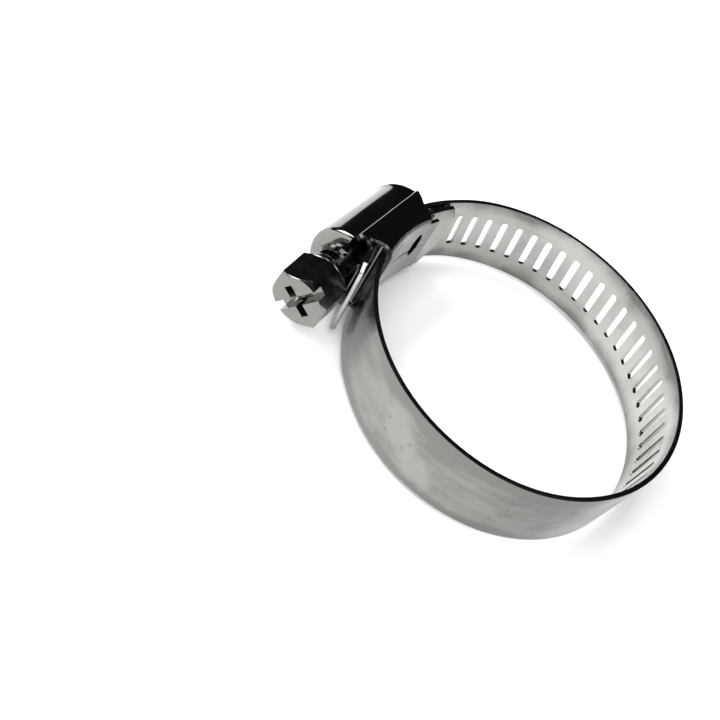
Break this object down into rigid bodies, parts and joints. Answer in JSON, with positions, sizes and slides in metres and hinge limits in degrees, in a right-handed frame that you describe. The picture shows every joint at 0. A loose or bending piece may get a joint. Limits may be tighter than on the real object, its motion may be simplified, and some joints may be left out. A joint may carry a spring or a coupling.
{
  "type": "worm-drive hose clamp",
  "caption": "Perforated-band hose clamp: a hex-head worm screw in a stamped housing winds a slotted band tongue to tighten the loop round a hose.",
  "frame": {"origin": "under the middle of the clamp's bounding box, on the plane its housing lies on", "axes": "+Z along the loop's axis, +X from the housing across the loop, so it is the longest extent; the screw's head points towards -Y"},
  "size_m": [0.0572, 0.0486, 0.0149],
  "materials": {
    "band": "bright rolled stainless strip, fine lengthwise grain",
    "housing": "mirror-polished stamped stainless sheet that reads dark",
    "saddle": "plain stamped stainless sheet",
    "screw": "cold-formed and rolled stainless, polished flats, grey turned face"
  },
  "bodies": {
    "clamp_housing": {"housing": "housing", "saddle": "saddle", "band_fixed_end": "band"},
    "head_side_band": {"band_head_side": "band"},
    "tip_side_band": {"band_tip_side": "band"},
    "tongue": {"band_tongue": "band"},
    "screw": {"worm_screw": "screw"}
  },
  "joints": [
    {"name": "screw_spin", "type": "hinge", "parent": "clamp_housing", "child": "screw", "pos_m": [-0.02397, 0.00005, 0.00745], "axis": [-0.0593, 0.9982, 0], "range_deg": [-540, 540]},
    {"name": "flex_head_side", "type": "hinge", "parent": "clamp_housing", "child": "head_side_band", "pos_m": [-0.00787, -0.02048, 0.00745], "axis": [0, 0, 1], "range_deg": [-4.2, 4.2]},
    {"name": "flex_far_side", "type": "hinge", "parent": "head_side_band", "child": "tip_side_band", "pos_m": [0.02824, 0.00005, 0.00745], "axis": [0, 0, 1], "range_deg": [-2.7, 2.7]},
    {"name": "flex_tip_side", "type": "hinge", "parent": "tip_side_band", "child": "tongue", "pos_m": [-0.00812, 0.02101, 0.00745], "axis": [0, 0, 1], "range_deg": [-3.7, 3.7]}
  ],
  "couplings": [
    {"joint": "flex_head_side", "follows": "screw_spin", "ratio": 0.007649},
    {"joint": "flex_far_side", "follows": "screw_spin", "ratio": 0.004781},
    {"joint": "flex_tip_side", "follows": "screw_spin", "ratio": 0.006693}
  ]
}
